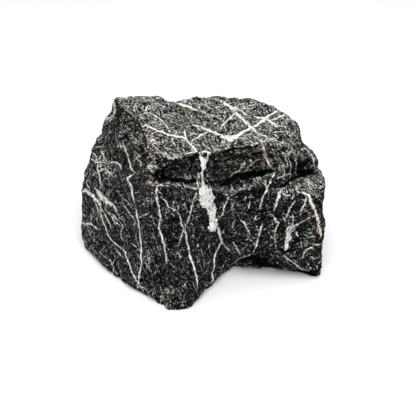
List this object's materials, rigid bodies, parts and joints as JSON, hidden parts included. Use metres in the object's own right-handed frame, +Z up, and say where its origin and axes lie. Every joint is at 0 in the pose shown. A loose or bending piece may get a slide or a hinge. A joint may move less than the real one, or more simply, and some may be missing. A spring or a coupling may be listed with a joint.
{
  "type": "seiryu stone",
  "caption": "Angular block of dark, white-veined seiryu limestone with an overhanging cap, a deep notch in its front and a flat base, for an aquarium or garden layout.",
  "frame": {"origin": "middle of the stone's bounding box, on the surface it rests on", "axes": "+X to the right along the broad front, which is the longest side; +Y to the back; +Z up"},
  "size_m": [0.2092, 0.1508, 0.1287],
  "materials": {
    "limestone": "matte"
  },
  "bodies": {
    "root": {"stone": "limestone"}
  },
  "joints": []
}
